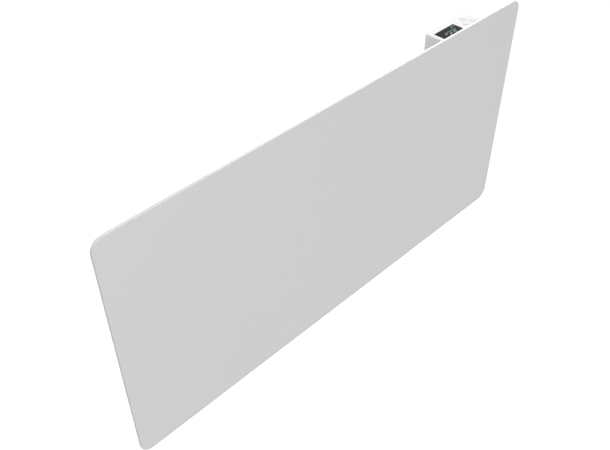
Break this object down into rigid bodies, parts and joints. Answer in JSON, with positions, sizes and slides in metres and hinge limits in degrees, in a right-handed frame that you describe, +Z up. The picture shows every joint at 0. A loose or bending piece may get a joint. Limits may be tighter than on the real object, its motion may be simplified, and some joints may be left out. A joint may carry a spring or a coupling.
{
  "type": "glass panel heater",
  "caption": "Wall-hung convector heater with a rounded white glass front, slim steel casing, control unit with display and keys, and a bracket it tilts forward on.",
  "frame": {"origin": "centre of the wall bracket's cross plate, on its rear face, which lies against the wall", "axes": "+Y into the wall, +Z up, +X to the right of someone facing the glass"},
  "size_m": [0.672, 0.088, 0.34],
  "materials": {
    "white_glass": "toughened glass, white enamel behind, polished",
    "white_enamel": "fine-textured powder coat",
    "white_plastic": "fine spark-eroded satin",
    "black_gloss": "smoked display window, polished",
    "grey_plastic": "moulded nylon, satin",
    "dark_plastic": "moulded, satin",
    "aluminium": "mill finish",
    "zinc_steel": "zinc plated sheet",
    "screw_steel": "bright zinc",
    "ceramic": null,
    "silicone": "matt grey silicone",
    "black_rubber": "matt sleeve",
    "circuit_board": "solder mask",
    "brown_wire": "silicone insulation",
    "blue_wire": "silicone insulation",
    "green_wire": "silicone insulation, green and yellow"
  },
  "bodies": {
    "bracket": {"wall_bracket": "white_enamel"},
    "heater": {"glass_panel": "white_glass", "glass_bond_upper": "silicone", "glass_bond_lower": "silicone", "front_plate": "white_enamel", "rear_casing": "white_enamel", "casing_screw_left_upper": "screw_steel", "casing_screw_left_lower": "screw_steel", "casing_screw_right_upper": "screw_steel", "casing_screw_right_lower": "screw_steel", "latch_keeper_left": "zinc_steel", "latch_keeper_right": "zinc_steel", "element_body": "aluminium", "element_core": "screw_steel", "element_seal_left": "ceramic", "element_seal_right": "ceramic", "element_bush_left": "silicone", "element_bush_right": "silicone", "element_holder_left": "zinc_steel", "element_holder_right": "zinc_steel", "holder_screw_left": "screw_steel", "holder_screw_right": "screw_steel", "heat_shield": "aluminium", "cutout_clip": "zinc_steel", "thermal_cutout": "dark_plastic", "terminal_block": "grey_plastic", "earth_lug": "zinc_steel", "earth_screw": "screw_steel", "neutral_wire": "blue_wire", "earth_wire": "green_wire", "live_wire": "brown_wire", "cutout_wire": "brown_wire", "control_lead": "dark_plastic", "control_housing": "white_plastic", "control_cap": "white_plastic", "display_window": "black_gloss", "display_module": "dark_plastic", "display_board": "circuit_board", "switch_frame": "dark_plastic", "power_board": "circuit_board", "power_relay": "dark_plastic", "supply_block": "dark_plastic", "supply_capacitor": "black_rubber", "cord_gland": "grey_plastic", "gland_nut": "grey_plastic", "room_sensor": "white_plastic"},
    "latch_left": {"latch_left": "grey_plastic"},
    "latch_right": {"latch_right": "grey_plastic"},
    "rocker": {"switch_rocker": "dark_plastic"},
    "key_minus": {"key_minus": "white_plastic"},
    "key_plus": {"key_plus": "white_plastic"},
    "key_mode": {"key_mode": "white_plastic"}
  },
  "joints": [
    {"name": "heater_tilt", "type": "hinge", "parent": "bracket", "child": "heater", "pos_m": [0, -0.0365, -0.1207], "axis": [1, 0, 0], "range_deg": [0, 20]},
    {"name": "latch_left_slide", "type": "slide", "parent": "bracket", "child": "latch_left", "axis": [0, 0, -1], "range_m": [0, 0.009]},
    {"name": "latch_right_slide", "type": "slide", "parent": "bracket", "child": "latch_right", "axis": [0, 0, -1], "range_m": [0, 0.009]},
    {"name": "rocker_switch", "type": "hinge", "parent": "heater", "child": "rocker", "pos_m": [0.2753, -0.061, 0.133], "axis": [0, 0, 1], "range_deg": [0, 16]},
    {"name": "key_minus_press", "type": "slide", "parent": "heater", "child": "key_minus", "axis": [0, 0, -1], "range_m": [0, 0.0008], "stiffness_N_per_m": 500, "springref_m": -0.0005},
    {"name": "key_plus_press", "type": "slide", "parent": "heater", "child": "key_plus", "axis": [0, 0, -1], "range_m": [0, 0.0008], "stiffness_N_per_m": 500, "springref_m": -0.0005},
    {"name": "key_mode_press", "type": "slide", "parent": "heater", "child": "key_mode", "axis": [0, 0, -1], "range_m": [0, 0.0008], "stiffness_N_per_m": 500, "springref_m": -0.0005}
  ]
}
